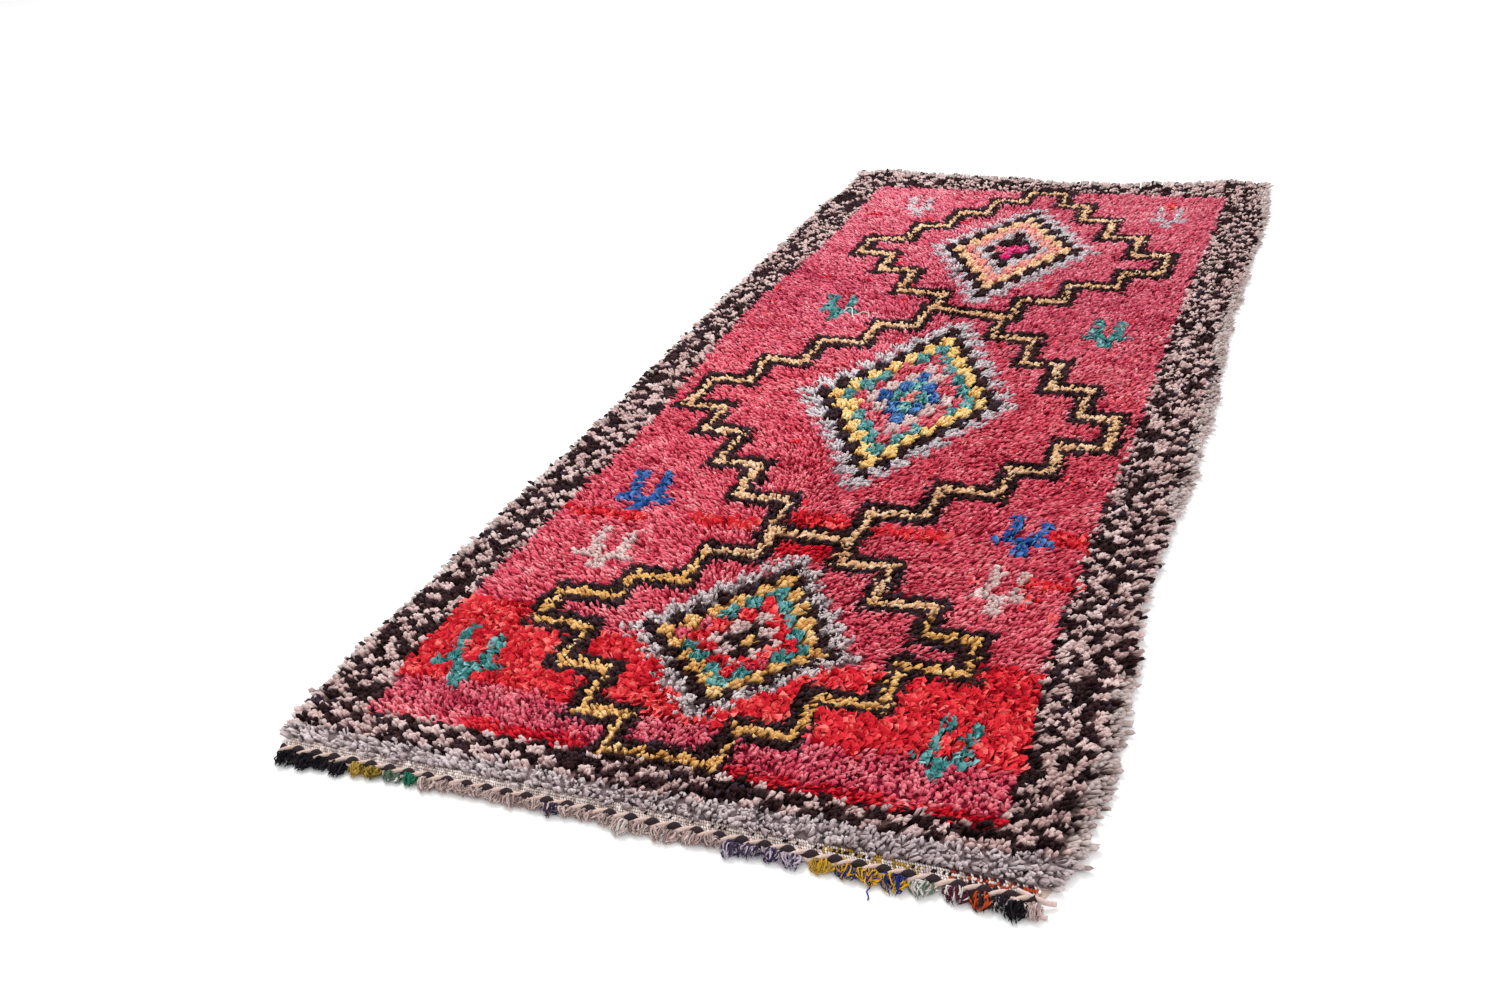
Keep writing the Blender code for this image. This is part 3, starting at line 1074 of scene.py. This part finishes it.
def rags_of(picked, places, tone, chance, cut):
    """Torn strips from each knot, cut as CUTS says.

    A petal is wide, thin and crumpled, and lies over so that its face shows."""
    x, y, lean_x, lean_y, height, out, tone = (
        np.repeat(column[picked], cut.each) for column in (*places, tone)
    )
    count = len(x)
    x = x + chance.normal(0, 0.0018, count) * (cut.each > 1)
    y = y + chance.normal(0, 0.0018, count) * (cut.each > 1)
    spread = cut.spread * (1 - 0.6 * out)
    tip = np.stack([
        lean_x * np.where(out > 0, 1.0, cut.lean) + chance.normal(0, 1, count) * spread,
        lean_y * 1.1 + chance.normal(0, 1, count) * spread,
        height * chance.uniform(0.82, 1.08, count),
    ], 1)
    bow = chance.normal(0, 0.0018, (count, 2))
    spine = spine_of(x, y, tip, bow, np.array([0.16, 0.56, 0.88, 1.0]))
    size = cut.width * chance.uniform(0.82, 1.18, (count, 1))
    width = size * ((0.6, 1.0, 0.85) if cut.sides == 4 else (0.85, 1.0, 0.7))
    thick = size * cut.thick * chance.uniform(0.8, 1.2, (count, 1)) * (1.0, 1.0, 0.75)
    way = np.arctan2(tip[:, 1], tip[:, 0])[:, None] + np.pi / 2
    way = way + chance.normal(0, cut.turn, (count, 1)) + chance.normal(0, 0.4, (count, 3))
    tone = tone + chance.normal(0, cut.tones, count)
    return dict(spine=spine, width=width, thick=thick, flat_way=level_way(way), tone=tone,
                sides=cut.sides, crumple=cut.crumple)


def grid(columns, rows):
    """A level grid's points as shares across and along, its faces, and its rim's points in turn."""
    across, along = np.meshgrid(np.linspace(0, 1, columns + 1), np.linspace(0, 1, rows + 1))
    index = np.arange(across.size).reshape(across.shape)
    quads = np.stack([index[:-1, :-1], index[:-1, 1:], index[1:, 1:], index[1:, :-1]], -1)
    rim = np.concatenate([index[0, :-1], index[:-1, -1], index[-1, :0:-1], index[:0:-1, 0]])
    return across, along, quads.reshape(-1, 4), rim


def make_bed(dyes):
    """The pile's depths: a lumpy closed slab below the tips, each point dyed as the knot above
    but darker, as painted shade seen between the locks.
    """
    near, far, beside = BED_INSET
    across, along, quads, rim = grid(86, 200)
    reach = plain_end(across) - far
    way = near + along * (reach - near)
    left, right = side_x(way, -1) + beside, side_x(way, 1) - beside
    x = left + (right - left) * across
    y = PILE_START + way
    from_rim = np.minimum(np.minimum(across, 1 - across) * 1.11, np.minimum(along, 1 - along) * 2.7)
    height = 0.0050 + 0.0038 * np.clip(from_rim / 0.02, 0, 1)
    height = height + swell_at(x, y) * 0.8 + patches(x, y, 0.009, 31) * 0.0014
    top = np.stack([x, y, height], -1).reshape(-1, 3)
    low = len(top) + np.arange(len(rim))
    under = top[rim] * (1, 1, 0) + (0, 0, WEAVE_HEIGHT)
    middle = [(0.0, 0.0, WEAVE_HEIGHT)]
    walls = np.stack([rim, low, np.roll(low, -1), np.roll(rim, -1)], 1)
    floor = np.stack([np.full(len(rim), low[-1] + 1), np.roll(low, -1), low], 1)
    obj = mesh_of("pile_bed", np.concatenate([top, under, middle]), [quads, walls, floor])
    row = (along * (ROWS - 1)).round().astype(int)
    column = (across * (COLUMNS - 1)).round().astype(int)
    # A mix of each dye's two darkest shades: painted shade for the depths between the locks
    deep = np.array([
        [linear(low * 0.65 + high * 0.35) for low, high in zip(shades[0][1:], shades[1][1:])]
        for shades in (DYES[name].shades for name in NAMES)
    ])
    dyed = deep[dyes.reshape(ROWS, COLUMNS)[row, column]].reshape(-1, 3)
    give(obj, "dye", np.concatenate([dyed, dyed[rim], dyed[:1]]))
    finish = Finish("pile_bed", 0.95)
    finish.surface(Base_Color=finish.attribute("dye", "Color"))
    finish.bump(finish.noise(finish.node("TexCoord", None, "Object"), 260.0, 2.0), 0.8, 0.002)
    return dress(obj, finish.material, "rug")


def make_pile():
    """The bed, and over it all the knots, joined into a piece for each dye."""
    chance = np.random.default_rng(40)
    places = pile_places(chance)
    dyes, tone = chart(*chart_place(*places[:4]), *knot_places(), chance)
    pieces = [make_bed(dyes)]
    for code, (name, dye) in enumerate(DYES.items()):
        material = yarn_finish("yarn_" + name, dye)
        picked = np.flatnonzero(dyes == code)
        picked = picked[np.argsort(places[1][picked], kind="stable")]
        if dye.cut in ENDS:
            made = ends_of(picked, places, tone, chance, ENDS[dye.cut])
        else:
            made = rags_of(picked, places, tone, chance, CUTS[dye.cut])
        pieces.append(dress(locks("pile_" + name, chance=chance, **made), material, "rug"))
    return pieces


def make_weave():
    """The ground weave: a thin closed sheet under the pile, with the flat-woven band in front."""
    across, along, quads, rim = grid(40, 90)
    reach = plain_end(across) - WEAVE_INSET
    along = -BAND_WIDTH + along * (reach + BAND_WIDTH)
    inset = np.where(along < 0.004, BAND_INSET, WEAVE_INSET)
    left, right = side_x(np.maximum(along, 0), -1) + inset, side_x(np.maximum(along, 0), 1) - inset
    x = left + (right - left) * across
    y = PILE_START + along
    top = np.stack([x, y, np.full_like(x, WEAVE_HEIGHT)], -1).reshape(-1, 3)
    under = top * (1, 1, 0) + (0, 0, FLOOR_GAP)
    after = np.roll(rim, -1)
    below = len(top)
    walls = np.stack([rim, rim + below, after + below, after], 1)
    obj = mesh_of("ground_weave", np.concatenate([top, under]),
                  [quads, quads[:, ::-1] + below, walls], smooth=False)
    finish = Finish("ground_weave", 0.95)
    place = finish.node("TexCoord", None, "Object")
    ribs = finish.node("TexWave", {"bands_direction": "Y"}, "Fac", Vector=place, Scale=150.0,
                       Distortion=1.5, Detail=2.0, Detail_Scale=3.0)
    mottle = finish.noise(place, 60.0, 3.0)
    shades = (0.0, 176, 146, 136), (0.5, 224, 200, 188), (1.0, 240, 222, 210)
    finish.surface(Base_Color=finish.ramp(shades, mottle * 0.7 + ribs * 0.3))
    finish.bump(ribs, 0.8, 0.0012)
    return dress(obj, finish.material, "rug")


def fringe_line():
    """X of the fringe's left and right ends."""
    return float(side_x(0.0, -1)) + BAND_INSET - 0.004, float(side_x(0.0, 1)) - BAND_INSET


def add_tube(points, faces, path, radius, sides):
    """Adds a round tube along a path (n, 3), with its ends closed, to lists of points and faces.

    radius is one number for each point of the path."""
    forward = unit(np.gradient(path, axis=0))
    level = unit(np.cross(forward, (0.0, 0.0, 1.0)))
    raised = np.cross(level, forward)
    angle = 2 * np.pi * np.arange(sides) / sides
    out = np.cos(angle)[:, None] * level[:, None] + np.sin(angle)[:, None] * raised[:, None]
    made = path[:, None] - out * radius[:, None, None]
    faces += [group + sum(map(len, points)) for group in lock_faces(1, len(path), sides)]
    points.append(np.concatenate([made.reshape(-1, 3), path[-1:]]))


def yarn_mix(name):
    """A finish whose colour is the piece's own dye attribute, streaked along the fibre and scaled
    by the tone attribute, which holds painted shade on the tassels.
    """
    finish = Finish(name, 0.92, sheen=0.015)
    fibre = finish.noise(finish.attribute("fibre", "Vector"), 900.0, 2.0, 0.6)
    shade = finish.node("Mix", {"data_type": "RGBA", "blend_type": "MULTIPLY"}, 2)
    mix = shade.link.node
    mix.inputs[0].default_value = 1.0
    put(finish.tree, mix.inputs[6], finish.attribute("dye", "Color"))
    put(finish.tree, mix.inputs[7], finish.attribute("tone") * 0.45 + fibre * 0.7 + 0.32)
    finish.surface(Base_Color=shade)
    finish.bump(fibre, 0.7, 0.0009)
    return finish.material


def yarn_colour(name):
    """A named yarn's colour as light."""
    return [linear(value) for value in YARNS[name]]


# The cord's strands: where each winds from (the dark one doesn't wind), and its radius and shades
STRANDS = table(
    "node slot winds radius shades",
    ("light_strand", "light_twine", (0.0, np.pi), 0.0031,
     ((0.0, 130, 104, 98), (0.5, 202, 174, 163), (1.0, 226, 204, 193))),
    ("dark_strand", "dark_twine", (None,), 0.0026,
     ((0.0, 12, 8, 10), (0.6, 44, 33, 37), (1.0, 78, 64, 66))),
)


def make_cord():
    """A cord: two pale strands twined round each other, and a dark one that shows between.

    The pale strands follow a helix of twice the pitch, y = a cos(t), z = h - b sin(t), half a turn
    apart. The dark one runs straight and swells between their crossings, as (1/2 + cos(2t)/2)^1.3."""
    left, right = fringe_line()
    left, right = left + 0.002, right - 0.002
    twists = round((right - left) / TWIST_PITCH)
    along = np.linspace(0, 1, twists * 12 + 1)
    middle_y = PILE_START - BAND_WIDTH - CORD_DROP
    turn = np.pi * along * twists
    x = left + (right - left) * along
    for strand in STRANDS:
        points, faces = [], []
        for start in strand.winds:
            if start is None:
                eye = (0.5 + 0.5 * np.cos(2 * turn)) ** 1.3
                size = strand.radius + EYE_SWELL * eye
                across, up = turn * 0, EYE_HEIGHT + 0.0040 * eye
            else:
                size = np.full(len(x), strand.radius)
                across = SWING_ACROSS * np.sin(turn + start + np.pi / 2)
                up = CORD_HEIGHT + SWING_UP * np.cos(turn + start + np.pi / 2)
            path = np.stack([x, middle_y + across, np.maximum(up, size + FLOOR_GAP)], 1)
            size[0] = size[-1] = strand.radius * 0.6
            add_tube(points, faces, path, size, 8)
        points = np.concatenate(points)
        obj = mesh_of("twined_" + strand.node, points, faces)
        give(obj, "fibre", points * (0.4, 1.0, 1.0))
        finish = Finish("twine_" + strand.node, 0.9, sheen=0.015)
        ply = finish.noise(finish.attribute("fibre", "Vector"), 900.0, 3.0, 0.6)
        finish.surface(Base_Color=finish.ramp(strand.shades, (ply - 0.5) * 1.1 + 0.6))
        finish.bump(ply, 0.8, 0.0009)
        dress(obj, finish.material, strand.node)


def make_stitches():
    """The flat-woven band's face: four rows of small slanted stitches, dyed at the right end."""
    chance = np.random.default_rng(55)
    left, right = fringe_line()
    across = np.arange(left + 0.002, right - 0.004, 0.0034)
    row, x = [part.ravel() for part in np.meshgrid([0, 1, 2, 3], across, indexing="ij")]
    count = len(x)
    slant = np.where(row % 2 == 1, -1.0, 1.0)
    start = np.stack([x, PILE_START - 0.0132 + row * 0.0044, 0.0036 + row * 0.0009], 1)
    step = np.stack([0.0026 * slant, np.full(count, 0.0046), np.zeros(count)], 1)
    step += chance.normal(0, 0.0003, step.shape)
    rise = np.array([0.0, 0.33, 0.72, 1.0])
    spine = start[:, None] + rise[:, None] * step[:, None]
    spine[..., 2] += np.sin(rise * np.pi) * 0.0014
    width = np.full((count, 1), 0.0034) * (0.8, 1.15, 1.0)
    flat = np.tile([1.0, 0.0, 0.0], (count, 1, 1))
    obj = locks("band_stitches", spine, width, width * 0.8, flat,
                chance.uniform(0.3, 0.9, count), chance, crumple=0.04, painted_root_shade=0.0)
    where = (x - CHART_LEFT) * 1000
    dyed = np.tile(yarn_colour("milk"), (count, 1))
    pick = chance.uniform(0, 1, count)
    dyed[pick < 0.3] = yarn_colour("shell")
    dyed[(pick > 0.82) & (row == 2) & (where > 560)] = yarn_colour("coal")
    warm = (where > 800) & (where < 925)
    dyed[warm & (pick < 0.5)] = yarn_colour("ochre")
    busy = (where > 960) & (where < 1062)
    dyed[busy & (pick < 0.22)] = yarn_colour("rust")
    dyed[busy & (pick > 0.66)] = yarn_colour("wine")
    dyed[busy & (row == 0) & (pick > 0.5)] = yarn_colour("coal")
    give_locks(obj, "dye", dyed)
    dress(obj, yarn_mix("band_yarn"), "rug")


def make_fringe():
    """Tassels: round tufts of short yarns under the cord.

    A tuft's yarns run like a ball's meridians, x = fan w sin(t), y = -r t, z = level h sin(t),
    and each one waves by a little as it goes."""
    chance = np.random.default_rng(77)
    yarns, stations = 44, 8
    table = [(row.u, row.width, row.reach) for row in TASSELS]
    middle, wide, reach = (np.array(table).T / 1000)[:, :, None]
    middle = middle + CHART_LEFT
    fan = chance.uniform(-1, 1, (len(TASSELS), yarns))
    level = np.sqrt(1 - fan ** 2) * chance.uniform(0.05, 1, fan.shape)
    length = reach * chance.uniform(0.58, 1.06, fan.shape) * (1 - 0.22 * fan ** 2) + 0.003
    rise = np.linspace(0, 1, stations)
    belly = np.sin(np.pi * (0.10 + 0.78 * rise))
    wave = chance.uniform(3, 9, (*fan.shape, 1)) * rise + chance.uniform(0, 6.3, (*fan.shape, 1))
    x = (middle[..., None] + (fan * wide * 0.60)[..., None] * belly
         + 0.0040 * np.sin(wave) * rise)
    y = (PILE_START - BAND_WIDTH - 0.0080 - length[..., None] * rise
         + 0.0030 * np.cos(wave * 1.3) * rise)
    z = 0.0022 + (0.0020 + 0.0125 * level[..., None]) * belly + 0.0022 * np.sin(wave * 1.7) * rise
    spine = np.stack([x, y, z], -1).reshape(-1, stations, 3)
    count = len(spine)
    width = np.full((count, stations - 1), 0.0025) * chance.uniform(0.75, 1.2, (count, 1))
    flat = np.tile([1.0, 0.0, 0.0], (count, 1, 1))
    # Each yarn's tone is drawn from 0 to 1, darker for some yarns partly as painted shade, and the
    # locks lower it towards the root: painted shade near the cord
    obj = locks("fringe_tassels", spine, width, width * 0.9, flat, chance.uniform(0, 1, count),
                chance, crumple=0.06)
    one, other = (
        np.array([yarn_colour(name) for name in names])[:, None]
        for names in zip(*((row.one, row.other) for row in TASSELS))
    )
    pick = chance.uniform(0, 1, (*fan.shape, 1)) < 0.6
    dyed = np.where(pick, one, other).reshape(-1, 3)
    give_locks(obj, "dye", dyed)
    dress(obj, yarn_mix("fringe_yarn"), "fringe")


def make_loose():
    """A few loose threads: a tube along points eased between the ones in LOOSE."""
    points, faces, dyed = [], [], []
    for thread in LOOSE:
        marks = np.array(thread.points) / 1000 + (CHART_LEFT, PILE_START, 0)
        at = np.linspace(0, len(marks) - 1, 6 * len(marks))
        knots = np.arange(len(marks))
        path = np.stack([np.interp(at, knots, marks[:, axis]) for axis in range(3)], 1)
        for _ in range(3):
            path[1:-1] = (path[:-2] + 2 * path[1:-1] + path[2:]) / 4
        add_tube(points, faces, path, np.full(len(path), thread.thickness / 2000), 6)
        dyed.append(np.tile(yarn_colour(thread.dye), (len(points[-1]), 1)))
    points = np.concatenate(points)
    points[:, 2] = np.maximum(points[:, 2], FLOOR_GAP)
    obj = mesh_of("loose_threads", points, faces)
    give(obj, "dye", np.concatenate(dyed))
    give(obj, "tone", np.full(len(points), 0.6))
    give(obj, "fibre", points * (0.4, 0.4, 1.0))
    dress(obj, yarn_mix("loose_yarn"), "fringe")


def make_floor():
    """A plain pale floor."""
    points = np.array([(-60, -20, 0), (60, -20, 0), (60, 90, 0), (-60, 90, 0)], float)
    obj = mesh_of("floor", points, [np.array([[0, 1, 2, 3]])], smooth=False)
    finish = Finish("floor_paint", 0.9)
    finish.surface(Base_Color=(0.93, 0.93, 0.93, 1.0))
    obj.data.materials.append(finish.material)


def make_lights():
    """A pale surrounding light, a large soft light above and a weaker one beside the camera."""
    scene = bpy.context.scene
    world = bpy.data.worlds.new("studio")
    world.use_nodes = True
    world.node_tree.nodes["Background"].inputs["Color"].default_value = (1.0, 1.0, 1.0, 1.0)
    world.node_tree.nodes["Background"].inputs["Strength"].default_value = 0.95
    scene.world = world
    for name, place, size, power in (
        ("key_light", (-2.6, 2.4, 5.0), 3.0, 260),
        ("fill_light", (2.4, -3.2, 3.0), 2.6, 30),
    ):
        light = bpy.data.lights.new(name, "AREA")
        light.shape = "DISK"
        light.size = size
        light.energy = power
        lamp = bpy.data.objects.new(name, light)
        lamp.location = place
        lamp.rotation_euler = (-Vector(place)).to_track_quat("-Z", "Y").to_euler()
        scene.collection.objects.link(lamp)
    scene.view_settings.view_transform = "Standard"
    scene.view_settings.look = "None"


def make_camera():
    """The camera at the photograph's viewing angle."""
    scene = bpy.context.scene
    data = bpy.data.cameras.new("camera")
    data.sensor_width = 36.0
    data.lens = 35.52
    camera = bpy.data.objects.new("camera", data)
    right = Vector((0.9266, 0.3662, -0.0853))
    up = Vector((-0.1060, 0.4720, 0.8752))
    back = right.cross(up)
    camera.matrix_world = Matrix.Translation((0.7795, -2.6035, 1.2339)) @ Matrix(
        (right, up, back)).transposed().to_4x4()
    scene.collection.objects.link(camera)
    scene.camera = camera


def main():
    """Builds the pieces, the floor, the light and the camera."""
    pile = make_pile()
    weave = make_weave()
    make_stitches()
    make_cord()
    make_fringe()
    make_loose()
    make_floor()
    make_lights()
    make_camera()


main()
